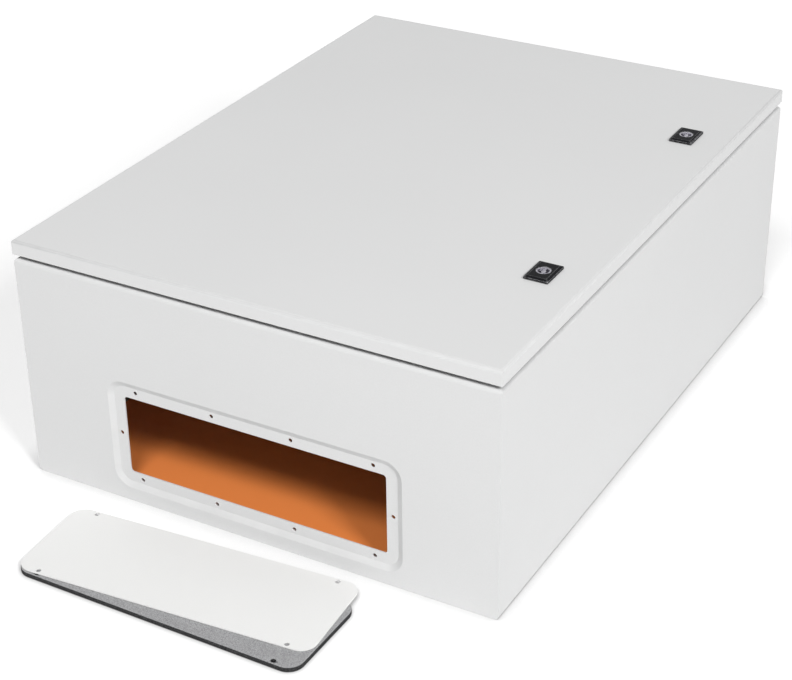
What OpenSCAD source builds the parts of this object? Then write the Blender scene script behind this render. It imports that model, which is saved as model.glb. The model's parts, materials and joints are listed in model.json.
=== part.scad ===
// Distribution board for a wall, lying on its back: a folded sheet-steel enclosure with a hinged
// door on two quarter-turn locks, a mounting plate inside, and a pressed cable-entry flange in its
// lower end. The flange's cover plate and gasket are taken off and lie in front of it.
// Frame: the origin is the centre of the back face. X runs to the lock side, Y up the wall and
// Z out of the wall.

/* [Enclosure] */
// Width across the door
board_w = 600; // [400:10:800]
// Height on the wall
board_h = 800; // [500:10:1200]
// Depth from the wall to the face of the door
board_d = 300; // [200:5:400]
// How far the door stands past the body on each side
door_overhang = 0.5; // [0:0.1:2]
// Thickness of the body's sheet
body_t = 1.5; // [1.2:0.1:2]
// Inner radius of the body's folds
bend_r = 3; // [2.5:0.5:4]

/* [Rim] */
// Width of the rim that turns inward round the front
rim_w = 20; // [18:1:30]
// Width of the return on top of the rain lip
lip_return = 7; // [5:1:12]
// Inner radius of the folds of the rim
rim_bend_r = 1.5; // [1:0.25:2]
// Gap between the rim and the skirt of the door
door_gap = 5.5; // [5:0.5:10]

/* [Door] */
// Thickness of the door's sheet
door_t = 2; // [1.5:0.1:2.5]
// Depth of the door's folded skirt
skirt_h = 17.5; // [15:0.5:18]
// Inner radius of the door's folds
door_bend_r = 1.5; // [0.5:0.25:2]
// Width of the foam gasket
gasket_w = 12; // [8:1:14]
// Thickness of the foam gasket
gasket_t = 7.7; // [6:0.1:9]
// Gap between the gasket and the rain lip
seal_gap = 0.3; // [0.2:0.1:0.5]
// Corner radius of the gasket
gasket_r = 16; // [14:1:30]

/* [Door stiffeners] */
// Distance of each stiffener's middle from the door's edge
stiffener_inset = 130; // [110:5:180]
// Width of a stiffener's crown
stiffener_w = 26; // [20:1:40]
// Height of a stiffener
stiffener_h = 12; // [8:1:16]
// Width of a stiffener's flanges
stiffener_flange = 12; // [8:1:14]
// Sheet thickness of a stiffener
stiffener_t = 1.5; // [1:0.1:2]
// Inner radius of a stiffener's folds
stiffener_bend_r = 1; // [0.5:0.25:2]
// Distance of a stiffener's ends from the door's ends
stiffener_end = 70; // [50:5:120]
// Diameter of the holes in a stiffener
stiffener_hole_d = 6; // [4:0.5:8]
// Pitch of the holes in a stiffener
stiffener_pitch = 40; // [25:5:100]

/* [Hinges] */
// Distance of each hinge's middle from the door's end
hinge_end = 120; // [90:5:160]
// Length of a hinge
hinge_l = 60; // [50:5:80]
// Diameter of the pin
pin_d = 4; // [3:0.5:4.5]
// Radial clearance of the pin
pin_clearance = 0.05; // [0.02:0.01:0.09]
// Outer diameter of the knuckles
knuckle_d = 6.4; // [6:0.2:7]
// Gap between neighbouring knuckles
knuckle_gap = 0.3; // [0.2:0.1:0.6]
// Thickness of the leaves
leaf_t = 2; // [1.5:0.1:2.2]
// Inner radius of the leaves' folds
leaf_bend_r = 0.5; // [0.25:0.25:1]
// Width of the door leaf's plate
door_leaf_w = 9; // [7:0.5:9]
// Distance of the pin from the door's edge
pin_inset = 6; // [6:0.1:7]
// Distance of the pin behind the door's face
pin_drop = 14; // [13:0.5:15]
// Diameter of the pin's head
pin_head_d = 6; // [5:0.5:7]
// Height of the pin's head
pin_head_h = 1.5; // [1:0.5:3]

/* [Locks] */
// Distance of each lock from the door's end
lock_end = 200; // [100:5:220]
// Distance of each lock from the door's edge
lock_inset = 52; // [50:1:56]
// Width of the bezel, across the board
bezel_w = 29; // [26:1:34]
// Length of the bezel, along the board
bezel_l = 41; // [36:1:50]
// Height of the bezel
bezel_h = 3.5; // [3:0.5:6]
// Height of the bezel's upright foot, below its bevel
bezel_foot = 2; // [1:0.5:2.5]
// Width of the bezel's bevel
bezel_bevel = 3.5; // [1:0.5:5]
// Corner radius of the bezel
bezel_r = 1.5; // [1:0.25:4]
// Distance of the seal's edge inside the bezel's edge
seal_inset = 0.5; // [0.25:0.25:1]
// Thickness of the seal under the bezel
lock_seal_t = 0.8; // [0.5:0.1:1.5]
// Diameter of the barrel behind the door
barrel_d = 22; // [20:0.5:24]
// Length of the barrel behind the door
barrel_l = 12; // [9:1:14]
// Radial clearance of the barrel in the door
barrel_clearance = 0.25; // [0.1:0.05:0.5]
// Diameter of the turning insert
insert_d = 16; // [14:0.5:17]
// Height of the turning insert
insert_h = 11; // [9:0.5:12]
// Depth of the insert's end below the top of the bezel
insert_drop = 0.4; // [0:0.1:1]
// Wall of the turning insert
insert_wall = 1.5; // [1:0.25:2]
// Depth of the key well in the insert
key_well = 8; // [5:0.5:8]
// Diameter of the key post
key_post_d = 5; // [3:0.5:6]
// Thickness of the key wings
key_wing_t = 1.8; // [1:0.2:2.4]
// Diameter of the spindle's shaft
shaft_d = 10; // [9:0.5:12]
// Radial clearance of the spindle
spindle_clearance = 0.05; // [0.02:0.01:0.09]
// Width of the spindle's square
square_w = 7; // [6:0.25:7.5]
// Width across the flats of the barrel's nut
lock_nut_af = 28; // [27:1:32]
// Height of the barrel's nut
lock_nut_h = 5; // [4:0.5:8]

/* [Cams] */
// Reach of the cam from the spindle
cam_l = 42; // [40:1:46]
// Width of the cam
cam_w = 18; // [14:1:20]
// Diameter of the cam's hub
cam_hub_d = 20; // [18:1:24]
// Thickness of the cam
cam_t = 3; // [2:0.5:4]
// Gap between the cam and the rim it closes on
cam_gap = 0.3; // [0.2:0.1:1]
// Length of the ramp at the cam's tip
cam_ramp = 4; // [2:0.5:6]
// Diameter of the cam's washer
cam_washer_d = 16; // [14:1:18]
// Thickness of the cam's washer
cam_washer_t = 1.2; // [1:0.2:2]
// Diameter of the cam's screw
cam_screw_d = 4; // [3:0.5:5]
// Length of the cam's screw above its head
cam_screw_l = 12; // [8:1:14]
// Width across the flats of the screw's head
cam_screw_af = 8; // [7:0.5:10]
// Height of the screw's head
cam_screw_head = 3; // [2:0.5:4]

/* [Cable entry] */
// Width of the opening
entry_w = 333; // [200:1:340]
// Height of the opening
entry_h = 99; // [70:1:110]
// Corner radius of the opening
entry_r = 4; // [2:0.5:8]
// Distance of the opening's middle from the wall
entry_z = 86.5; // [85:0.5:110]
// Width of the pressed seat round the opening
seat_w = 13.5; // [12:0.5:16]
// Depth that the seat is pressed in
press_depth = 3.5; // [2:0.5:4]
// Width of the pressed slope
press_slope = 7; // [5:1:12]
// Corner radius outside the pressed slope
press_r = 22; // [18:1:26]
// Diameter of the screw holes in the seat
entry_hole_d = 5; // [4:0.5:6]
// Holes in each row
entry_columns = 4; // [2:1:5]
// Distance of the end holes of a row from the opening's short edges
entry_row_end = 15.5; // [12:0.5:25]
// Distance of the hole rows from the opening's long edges
entry_row_edge = 7.75; // [5:0.25:8.5]
// Distance of the side holes from the opening's short edges
entry_side_edge = 7.8; // [5:0.1:9]

/* [Gland plate and gasket] */
// Gap between the gland plate and the edge of its seat
gland_fit = 1; // [0.5:0.1:2]
// Corner radius of the gland plate
gland_r = 18; // [12:1:24]
// Thickness of the gland plate
gland_t = 1.5; // [1:0.25:3]
// Diameter of the gland plate's holes
gland_hole_d = 5.5; // [4:0.5:7]
// Thickness of the gasket
gland_gasket_t = 6; // [3:0.5:8]
// Gap between the loose gasket and the gland plate that lies on it
loose_gap = 0.2; // [0.1:0.1:0.5]
// Where the middle of the loose gasket lies, in X
loose_gasket_x = -17; // [-60:1:60]
// Where the middle of the loose gasket lies, in front of the body
loose_gasket_front = 113; // [90:1:220]
// How far the loose gasket is turned
loose_gasket_turn = -0.5; // [-10:0.5:10]
// Where the middle of the loose gland plate lies, in X
loose_plate_x = -22; // [-60:1:60]
// Where the middle of the loose gland plate lies, in front of the body
loose_plate_front = 98; // [90:1:220]
// How far the loose gland plate is turned
loose_plate_turn = 4; // [-10:0.5:10]

/* [Mounting plate] */
// Gap between the mounting plate and the walls
plate_edge_gap = 20; // [16:1:60]
// Thickness of the mounting plate
plate_t = 2; // [1.5:0.25:3]
// Depth of the mounting plate's folded edges
plate_fold = 10; // [6:1:14]
// Height of the mounting plate above the back sheet
plate_standoff = 20; // [16:1:40]
// Distance of the studs from the mounting plate's edges
stud_inset = 20; // [16:1:40]
// Diameter of the studs
stud_d = 8; // [6:1:10]
// Length of stud that stands past its nut
stud_spare = 3; // [1:1:10]
// Radial clearance of washers, spacers and nuts on their studs
stud_clearance = 0.1; // [0.05:0.05:0.4]
// Radial clearance of the plate's holes
plate_hole_clearance = 0.5; // [0.25:0.25:1]
// Outer diameter of the spacers
spacer_d = 14; // [13:1:20]
// Outer diameter of the washers
washer_d = 16; // [15:1:24]
// Thickness of the washers
washer_t = 1.6; // [1:0.2:2.4]
// Width across the flats of the plate nuts
nut_af = 13; // [12.5:0.5:17]
// Height of the plate nuts
nut_h = 6.5; // [5:0.5:8]

/* [Wall fixing] */
// Diameter of the wall-fixing holes
fix_hole_d = 9; // [6:0.5:10]
// Distance of the wall-fixing holes from the door's outline
fix_inset = 20; // [16:0.5:24]

/* [Earthing] */
// Diameter of the earth studs
earth_d = 6; // [5:1:8]
// Length of the earth studs
earth_l = 20; // [18:1:24]
// Distance of both earth studs from the board's lower end
earth_end = 70; // [50:5:75]
// Height of the body's earth stud above the wall
earth_z = 60; // [50:5:120]
// Distance of the door's earth stud from the door's edge
earth_inset = 46; // [44:1:60]
// Width across the flats of the earth nuts
earth_nut_af = 10; // [9.5:0.5:13]
// Height of the earth nuts
earth_nut_h = 5; // [4:0.5:6]
// Outer diameter of the earth washers
earth_washer_d = 12; // [11.5:0.5:16]
// Thickness of the earth washers
earth_washer_t = 1.2; // [1:0.2:1.6]

/* [Hidden] */
$fn = 48;
// Straight pieces that stand for a quarter turn of a fold
fold_steps = 6;
// Distance that cutting shapes run past what they cut
eps = 1;
// Overlap of the pressed slope with the flat sheet on both sides of it
press_tail = 1;
light_grey = [0.85, 0.855, 0.85];
door_grey = [0.86, 0.865, 0.86];
orange = [0.86, 0.49, 0.23];
black = [0.12, 0.12, 0.13];
foam_black = [0.16, 0.16, 0.17];
zinc = [0.72, 0.72, 0.74];
steel = [0.62, 0.62, 0.66];
gasket_grey = [0.6, 0.6, 0.6];
off_white = [0.93, 0.93, 0.92];

wall_x = board_w / 2 - door_overhang;
wall_y = board_h / 2 - door_overhang;
door_inside_z = board_d - door_t;
rim_z = board_d - skirt_h - door_gap;
lip_z = door_inside_z - gasket_t - seal_gap;
// Height where the butted side walls end and the mitred rim begins
mitre_z = rim_z - bend_r - body_t;
// Outer face of the rain lip, counted inward from the walls
lip_inset = rim_w - body_t;
// Inner edge of the rain lip's return, counted inward from the walls
rim_reach = rim_w + lip_return;
gasket_mid = (lip_inset + rim_reach) / 2;

stiffener_x = board_w / 2 - stiffener_inset;
hinge_y = board_h / 2 - hinge_end;
pin_x = -(board_w / 2 - pin_inset);
pin_z = board_d - pin_drop;
knuckle_l = (hinge_l - 2 * knuckle_gap) / 3;

lock_x = board_w / 2 - lock_inset;
lock_y = board_h / 2 - lock_end;
insert_top_z = board_d + lock_seal_t + bezel_h - insert_drop;
ledge_z = insert_top_z - insert_h;
barrel_end_z = door_inside_z - barrel_l;
cam_top_z = rim_z - body_t - cam_gap;
cam_bottom_z = cam_top_z - cam_t;

seat_half_w = entry_w / 2 + seat_w;
seat_half_h = entry_h / 2 + seat_w;
press_half_w = seat_half_w + press_slope;
press_half_h = seat_half_h + press_slope;
entry_row_x = entry_w / 2 - entry_row_end;
entry_pitch = 2 * entry_row_x / (entry_columns - 1);
entry_row_z = entry_h / 2 + entry_row_edge;
entry_side_x = entry_w / 2 + entry_side_edge;
gland_half_w = seat_half_w - gland_fit;
gland_half_h = seat_half_h - gland_fit;

plate_half_w = wall_x - body_t - plate_edge_gap;
plate_half_h = wall_y - body_t - plate_edge_gap;
plate_top_z = body_t + plate_standoff + plate_t;
stud_x = plate_half_w - stud_inset;
stud_y = plate_half_h - stud_inset;
stud_top_z = plate_top_z + washer_t + nut_h + stud_spare;
earth_y = board_h / 2 - earth_end;

// Folded sheet: an outline that follows a path along the middle of the sheet, with round folds

function unit(v) = v / norm(v);
function left_of(v) = [-v[1], v[0]];
function turned(v, a) = [v[0] * cos(a) - v[1] * sin(a), v[0] * sin(a) + v[1] * cos(a)];
function fold_angle(u, v) = atan2(u[0] * v[1] - u[1] * v[0], u * v);

// Points with their normals round the fold at one corner of the path
function fold_points(before, corner, after, r) =
    let (u = unit(corner - before), v = unit(after - corner))
    let (a = fold_angle(u, v), side = sign(a))
    let (start = corner - u * r * tan(abs(a) / 2), middle = start + side * r * left_of(u))
    [for (k = [0:fold_steps]) let (n = turned(left_of(u), a * k / fold_steps)) [middle - side * r * n, n]];

// The whole path as points with normals; radii holds the inner radius of each fold
function sheet_points(path, t, radii) =
    let (last = len(path) - 1)
    concat(
        [[path[0], left_of(unit(path[1] - path[0]))]],
        [for (i = [1:last - 1]) each fold_points(path[i - 1], path[i], path[i + 1], radii[i - 1] + t / 2)],
        [[path[last], left_of(unit(path[last] - path[last - 1]))]]
    );

module folded_sheet(path, t, radii) {
    points = sheet_points(path, t, radii);
    count = len(points);
    polygon(concat(
        [for (p = points) p[0] + p[1] * t / 2],
        [for (i = [count - 1:-1:0]) points[i][0] - points[i][1] * t / 2]
    ));
}

// Extrudes a section drawn in X and Z along Y, centred
module along_y(length) {
    rotate([90, 0, 0])
        linear_extrude(length, center = true)
            children();
}

// Extrudes a section drawn in Y and Z along X, centred
module along_x(length) {
    rotate([90, 0, 90])
        linear_extrude(length, center = true)
            children();
}

// Rectangle about the origin with round corners
module round_rect(half_w, half_h, r) {
    square([2 * (half_w - r), 2 * half_h], center = true);
    square([2 * half_w, 2 * (half_h - r)], center = true);
    for (x = [-1, 1], y = [-1, 1])
        translate([x * (half_w - r), y * (half_h - r)])
            circle(r);
}

// The four corners of a rectangle about the origin
module at_corners(x, y, z) {
    for (i = [-1, 1], j = [-1, 1])
        translate([i * x, j * y, z])
            children();
}

module washer(d, hole, t) {
    difference() {
        cylinder(d = d, h = t);
        translate([0, 0, -eps])
            cylinder(d = hole, h = t + 2 * eps);
    }
}

module hex_nut(af, hole, h) {
    difference() {
        cylinder(d = af / cos(30), h = h, $fn = 6);
        translate([0, 0, -eps])
            cylinder(d = hole, h = h + 2 * eps);
    }
}

// Body: a U-shaped wrapper and two end panels, mitred to it at the rim

module wrapper_section() {
    x = wall_x - body_t / 2;
    lip_x = wall_x - lip_inset - body_t / 2;
    end_x = wall_x - rim_reach;
    right = [
        [x, body_t / 2],
        [x, rim_z - body_t / 2],
        [lip_x, rim_z - body_t / 2],
        [lip_x, lip_z - body_t / 2],
        [end_x, lip_z - body_t / 2],
    ];
    left = [for (i = [len(right) - 1:-1:0]) [-right[i][0], right[i][1]]];
    folded_sheet(
        concat(left, right),
        body_t,
        [rim_bend_r, rim_bend_r, bend_r, bend_r, bend_r, bend_r, rim_bend_r, rim_bend_r]
    );
}

module end_section() {
    y = -(wall_y - body_t / 2);
    lip_y = -(wall_y - lip_inset - body_t / 2);
    folded_sheet(
        [
            [y, 0],
            [y, rim_z - body_t / 2],
            [lip_y, rim_z - body_t / 2],
            [lip_y, lip_z - body_t / 2],
            [-(wall_y - rim_reach), lip_z - body_t / 2],
        ],
        body_t,
        [bend_r, rim_bend_r, rim_bend_r]
    );
}

// Everything above the mitre that belongs to the end panel at the lower end
module end_wedge() {
    translate([0, 0, mitre_z])
        linear_extrude(board_d)
            polygon([
                [0, wall_x - wall_y],
                [-(wall_x + eps), -(wall_y + eps)],
                [wall_x + eps, -(wall_y + eps)],
            ]);
}

// Everything above the mitre that belongs to the wrapper at the lower end
module side_wedges() {
    for (s = [-1, 1])
        translate([0, 0, mitre_z])
            linear_extrude(board_d)
                polygon([
                    [0, wall_x - wall_y],
                    [s * (wall_x + eps), -(wall_y + eps)],
                    [s * (wall_x + eps), wall_x - wall_y],
                ]);
}

module body_wrapper() {
    color(light_grey)
        difference() {
            along_y(2 * wall_y)
                wrapper_section();
            for (s = [0, 1])
                mirror([0, s, 0]) {
                    end_wedge();
                    translate([-board_w, -board_h, -eps])
                        cube([2 * board_w, board_h - wall_y + body_t, mitre_z + eps]);
                }
            at_corners(board_w / 2 - fix_inset, board_h / 2 - fix_inset, -eps)
                cylinder(d = fix_hole_d, h = body_t + 2 * eps);
        }
}

module plain_end_panel() {
    r = bend_r + body_t;
    difference() {
        along_x(2 * wall_x)
            end_section();
        side_wedges();
        for (s = [-1, 1])
            translate([s * (wall_x - r), -wall_y, r])
                rotate([90, 0, 0])
                    difference() {
                        translate([s > 0 ? 0 : -2 * r, -2 * r, -2 * r])
                            cube([2 * r, 2 * r, 3 * r]);
                        cylinder(r = r, h = 8 * r, center = true);
                    }
    }
}

module top_end_panel() {
    color(light_grey)
        mirror([0, 1, 0])
            plain_end_panel();
}

// The outer face of the lower end, with the opening's middle as origin and Z into the board
module on_lower_end() {
    translate([0, -wall_y, entry_z])
        rotate([90, 0, 0])
            mirror([0, 0, 1])
                children();
}

// Section of the pressed slope: X outward from the inner edge of the slope, Y into the board
module slope_section() {
    polygon([
        [-press_tail, press_depth],
        [0, press_depth],
        [press_slope, 0],
        [press_slope + press_tail, 0],
        [press_slope + press_tail, body_t],
        [press_slope, body_t],
        [0, press_depth + body_t],
        [-press_tail, press_depth + body_t],
    ]);
}

// The slope all round the seat: four straight runs and four round corners
module pressed_slope() {
    r = press_r - press_slope;
    x = seat_half_w - r;
    y = seat_half_h - r;
    for (a = [0:90:270]) {
        corner = [a % 180 == 0 ? x : y, a % 180 == 0 ? y : x];
        rotate([0, 0, a]) {
            translate([corner[0], corner[1], 0])
                rotate_extrude(angle = 90)
                    translate([r, 0])
                        slope_section();
            translate([corner[0] + r, 0, 0])
                rotate([90, 0, 0])
                    linear_extrude(2 * corner[1], center = true)
                        slope_section();
        }
    }
}

module entry_holes() {
    for (i = [0:entry_columns - 1], s = [-1, 1])
        translate([i * entry_pitch - entry_row_x, s * entry_row_z, 0])
            cylinder(d = entry_hole_d, h = press_depth + body_t + eps);
    for (s = [-1, 1])
        translate([s * entry_side_x, 0, 0])
            cylinder(d = entry_hole_d, h = press_depth + body_t + eps);
}

module bottom_end_panel() {
    color(light_grey)
        difference() {
            union() {
                difference() {
                    plain_end_panel();
                    on_lower_end()
                        translate([0, 0, -eps])
                            linear_extrude(body_t + 2 * eps)
                                round_rect(press_half_w, press_half_h, press_r);
                }
                on_lower_end() {
                    pressed_slope();
                    translate([0, 0, press_depth])
                        linear_extrude(body_t)
                            round_rect(seat_half_w, seat_half_h, press_r - press_slope);
                }
            }
            on_lower_end() {
                translate([0, 0, -eps])
                    linear_extrude(press_depth + body_t + 2 * eps)
                        round_rect(entry_w / 2, entry_h / 2, entry_r);
                entry_holes();
            }
        }
}

// Hinges: the body leaf reaches the pin from the rain lip, so that the skirt can pass below it

module at_pin() {
    translate([pin_x, 0, pin_z])
        children();
}

module knuckle_section() {
    circle(d = knuckle_d);
}

module body_arm_section() {
    x = -(wall_x - lip_inset) - leaf_t / 2 - pin_x;
    difference() {
        union() {
            knuckle_section();
            folded_sheet([[0, 0], [x, 0], [x, rim_z + body_t + rim_bend_r - pin_z]], leaf_t, [leaf_bend_r]);
        }
        circle(d = pin_d + 2 * pin_clearance);
    }
}

module door_arm_section() {
    difference() {
        union() {
            knuckle_section();
            folded_sheet(
                [
                    [0, 0],
                    [0, pin_drop - door_t - leaf_t / 2],
                    [door_leaf_w - leaf_t / 2, pin_drop - door_t - leaf_t / 2],
                ],
                leaf_t,
                [leaf_bend_r]
            );
        }
        circle(d = pin_d + 2 * pin_clearance);
    }
}

// The body leaf has a knuckle at each end and a plate along the rain lip
module hinge_body_leaf(y) {
    plate_x = -(wall_x - lip_inset) - leaf_t;
    plate_low = rim_z + body_t + rim_bend_r;
    plate_high = pin_z - knuckle_d / 2;
    color(zinc)
        translate([0, y, 0]) {
            for (s = [-1, 1])
                translate([0, s * (hinge_l - knuckle_l) / 2, 0])
                    at_pin()
                        along_y(knuckle_l)
                            body_arm_section();
            translate([plate_x, -hinge_l / 2, plate_low])
                cube([leaf_t, hinge_l, plate_high - plate_low]);
        }
}

// The door leaf has one knuckle between those of the body leaf and a plate under the door
module hinge_door_leaf(y) {
    color(zinc)
        translate([0, y, 0]) {
            at_pin()
                along_y(knuckle_l)
                    door_arm_section();
            translate([pin_x, -hinge_l / 2, door_inside_z - leaf_t])
                cube([door_leaf_w - leaf_t / 2, hinge_l, leaf_t]);
        }
}

module hinge_pin(y) {
    color(steel)
        translate([pin_x, y, pin_z])
            rotate([90, 0, 0]) {
                cylinder(d = pin_d, h = hinge_l, center = true);
                translate([0, 0, -hinge_l / 2 - pin_head_h])
                    cylinder(d = pin_head_d, h = pin_head_h);
            }
}

module upper_hinge_body_leaf() {
    hinge_body_leaf(hinge_y);
}

module lower_hinge_body_leaf() {
    hinge_body_leaf(-hinge_y);
}

module upper_hinge_pin() {
    hinge_pin(hinge_y);
}

module lower_hinge_pin() {
    hinge_pin(-hinge_y);
}

module upper_hinge_door_leaf() {
    hinge_door_leaf(hinge_y);
}

module lower_hinge_door_leaf() {
    hinge_door_leaf(-hinge_y);
}

// Mounting plate on four studs welded to the back sheet

module plate_studs() {
    color(steel)
        at_corners(stud_x, stud_y, body_t)
            cylinder(d = stud_d, h = stud_top_z - body_t);
}

module plate_spacers() {
    color(zinc)
        at_corners(stud_x, stud_y, body_t)
            washer(spacer_d, stud_d + 2 * stud_clearance, plate_standoff);
}

module mounting_plate() {
    x = plate_half_w - plate_t / 2;
    z = plate_top_z - plate_t / 2;
    low = plate_top_z - plate_fold;
    color(orange)
        difference() {
            along_y(2 * plate_half_h)
                folded_sheet([[-x, low], [-x, z], [x, z], [x, low]], plate_t, [plate_t, plate_t]);
            at_corners(stud_x, stud_y, plate_top_z - plate_t - eps)
                cylinder(d = stud_d + 2 * plate_hole_clearance, h = plate_t + 2 * eps);
        }
}

module plate_washers() {
    color(zinc)
        at_corners(stud_x, stud_y, plate_top_z)
            washer(washer_d, stud_d + 2 * stud_clearance, washer_t);
}

module plate_nuts() {
    color(zinc)
        at_corners(stud_x, stud_y, plate_top_z + washer_t)
            hex_nut(nut_af, stud_d + 2 * stud_clearance, nut_h);
}

// Earth studs: one inside the hinge-side wall and one inside the door, each with its origin at
// the sheet it is welded to and Z along the stud

module on_body_earth() {
    translate([-(wall_x - body_t), -earth_y, earth_z])
        rotate([0, 90, 0])
            children();
}

module on_door_earth() {
    translate([-(board_w / 2 - earth_inset), -earth_y, door_inside_z])
        rotate([180, 0, 0])
            children();
}

module earth_stud() {
    color(steel)
        cylinder(d = earth_d, h = earth_l);
}

// Two washers with room for a cable lug's nut between them
module earth_washers() {
    color(zinc)
        for (z = [0, earth_washer_t + earth_nut_h])
            translate([0, 0, z])
                washer(earth_washer_d, earth_d + 2 * stud_clearance, earth_washer_t);
}

module earth_nuts() {
    color(zinc)
        for (z = [earth_washer_t, 2 * earth_washer_t + earth_nut_h])
            translate([0, 0, z])
                hex_nut(earth_nut_af, earth_d + 2 * stud_clearance, earth_nut_h);
}

module body_earth_stud() {
    on_body_earth()
        earth_stud();
}

module body_earth_washers() {
    on_body_earth()
        earth_washers();
}

module body_earth_nuts() {
    on_body_earth()
        earth_nuts();
}

module door_earth_stud() {
    on_door_earth()
        earth_stud();
}

module door_earth_washers() {
    on_door_earth()
        earth_washers();
}

module door_earth_nuts() {
    on_door_earth()
        earth_nuts();
}

// Door: a shallow pan with mitred folds

// Section of the pan's outline: a rectangle that is rounded at its two outer corners
module pan_section(width, top, bottom, r) {
    x = width / 2;
    translate([-x, bottom])
        square([width, top - r - bottom]);
    translate([-(x - r), bottom])
        square([2 * (x - r), top - bottom]);
    for (s = [-1, 1])
        translate([s * (x - r), top - r])
            circle(r);
}

module pan_solid(inset, top, bottom, r) {
    intersection() {
        along_y(board_h - 2 * inset)
            pan_section(board_w - 2 * inset, top, bottom, r);
        along_x(board_w - 2 * inset)
            pan_section(board_h - 2 * inset, top, bottom, r);
    }
}

module door_panel() {
    skirt_z = board_d - skirt_h;
    color(door_grey)
        difference() {
            pan_solid(0, board_d, skirt_z, door_bend_r + door_t);
            pan_solid(door_t, door_inside_z, skirt_z - eps, door_bend_r);
            for (s = [-1, 1])
                translate([lock_x, s * lock_y, door_inside_z - eps])
                    cylinder(d = barrel_d + 2 * barrel_clearance, h = door_t + 2 * eps);
        }
}

module door_gasket() {
    outer = gasket_mid - gasket_w / 2;
    inner = gasket_mid + gasket_w / 2;
    color(foam_black)
        translate([0, 0, door_inside_z - gasket_t])
            linear_extrude(gasket_t)
                difference() {
                    round_rect(wall_x - outer, wall_y - outer, gasket_r);
                    round_rect(wall_x - inner, wall_y - inner, gasket_r - gasket_w);
                }
}

module door_stiffener(x) {
    half = stiffener_w / 2 - stiffener_t / 2;
    top = door_inside_z - stiffener_t / 2;
    crown = door_inside_z - stiffener_h + stiffener_t / 2;
    length = board_h - 2 * stiffener_end;
    holes = floor((length / 2 - stiffener_pitch / 2) / stiffener_pitch);
    color(door_grey)
        translate([x, 0, 0])
            difference() {
                along_y(length)
                    folded_sheet(
                        [
                            [-half - stiffener_flange, top],
                            [-half, top],
                            [-half, crown],
                            [half, crown],
                            [half, top],
                            [half + stiffener_flange, top],
                        ],
                        stiffener_t,
                        [for (i = [1:4]) stiffener_bend_r]
                    );
                for (i = [-holes:holes])
                    translate([0, i * stiffener_pitch, door_inside_z - stiffener_h - eps])
                        cylinder(d = stiffener_hole_d, h = stiffener_t + 2 * eps, $fn = 32);
            }
}

module left_door_stiffener() {
    door_stiffener(-stiffener_x);
}

module right_door_stiffener() {
    door_stiffener(stiffener_x);
}

// Locks: a housing clamped in the door by its nut, and a spindle that turns the cam

module at_lock(s) {
    translate([lock_x, s * lock_y, 0])
        children();
}

// Section of the bezel across its width or length: upright at its foot and bevelled above
module bezel_section(size) {
    polygon([
        [-size / 2, 0],
        [size / 2, 0],
        [size / 2, bezel_foot],
        [size / 2 - bezel_bevel, bezel_h],
        [-size / 2 + bezel_bevel, bezel_h],
        [-size / 2, bezel_foot],
    ]);
}

module lock_housing(s) {
    foot_z = board_d + lock_seal_t;
    color(black)
        at_lock(s)
            difference() {
                union() {
                    translate([0, 0, foot_z])
                        intersection() {
                            along_y(bezel_l)
                                bezel_section(bezel_w);
                            along_x(bezel_w)
                                bezel_section(bezel_l);
                            linear_extrude(bezel_h)
                                round_rect(bezel_w / 2, bezel_l / 2, bezel_r);
                        }
                    translate([0, 0, barrel_end_z])
                        cylinder(d = barrel_d, h = foot_z + eps - barrel_end_z);
                }
                translate([0, 0, ledge_z])
                    cylinder(d = insert_d + 2 * spindle_clearance, h = board_d);
                translate([0, 0, barrel_end_z - eps])
                    cylinder(d = shaft_d + 2 * spindle_clearance, h = board_d);
            }
}

module lock_seal(s) {
    color(foam_black)
        at_lock(s)
            translate([0, 0, board_d])
                linear_extrude(lock_seal_t)
                    difference() {
                        round_rect(bezel_w / 2 - seal_inset, bezel_l / 2 - seal_inset, bezel_r - seal_inset);
                        circle(d = barrel_d + 2 * barrel_clearance);
                    }
}

module lock_nut(s) {
    color(zinc)
        at_lock(s)
            translate([0, 0, door_inside_z - lock_nut_h])
                hex_nut(lock_nut_af, barrel_d + 2 * stud_clearance, lock_nut_h);
}

// The insert with its key post and wings, the shaft, and the square for the cam
module lock_spindle(s) {
    well_z = insert_top_z - key_well;
    well_d = insert_d - 2 * insert_wall;
    color(steel)
        at_lock(s)
            difference() {
                union() {
                    difference() {
                        translate([0, 0, ledge_z + spindle_clearance])
                            cylinder(d = insert_d, h = insert_h - spindle_clearance);
                        translate([0, 0, well_z])
                            cylinder(d = well_d, h = key_well + eps);
                    }
                    translate([0, 0, well_z - eps])
                        cylinder(d = key_post_d, h = key_well);
                    intersection() {
                        translate([-key_wing_t / 2, -insert_d / 2, well_z - eps])
                            cube([key_wing_t, insert_d, key_well]);
                        translate([0, 0, well_z - eps])
                            cylinder(d = well_d + insert_wall, h = key_well);
                    }
                    translate([0, 0, cam_top_z])
                        cylinder(d = shaft_d, h = ledge_z + eps - cam_top_z);
                    translate([-square_w / 2, -square_w / 2, cam_bottom_z])
                        cube([square_w, square_w, cam_t + eps]);
                }
                translate([0, 0, cam_bottom_z - eps])
                    cylinder(d = cam_screw_d, h = cam_screw_l - cam_washer_t + eps);
            }
}

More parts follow.
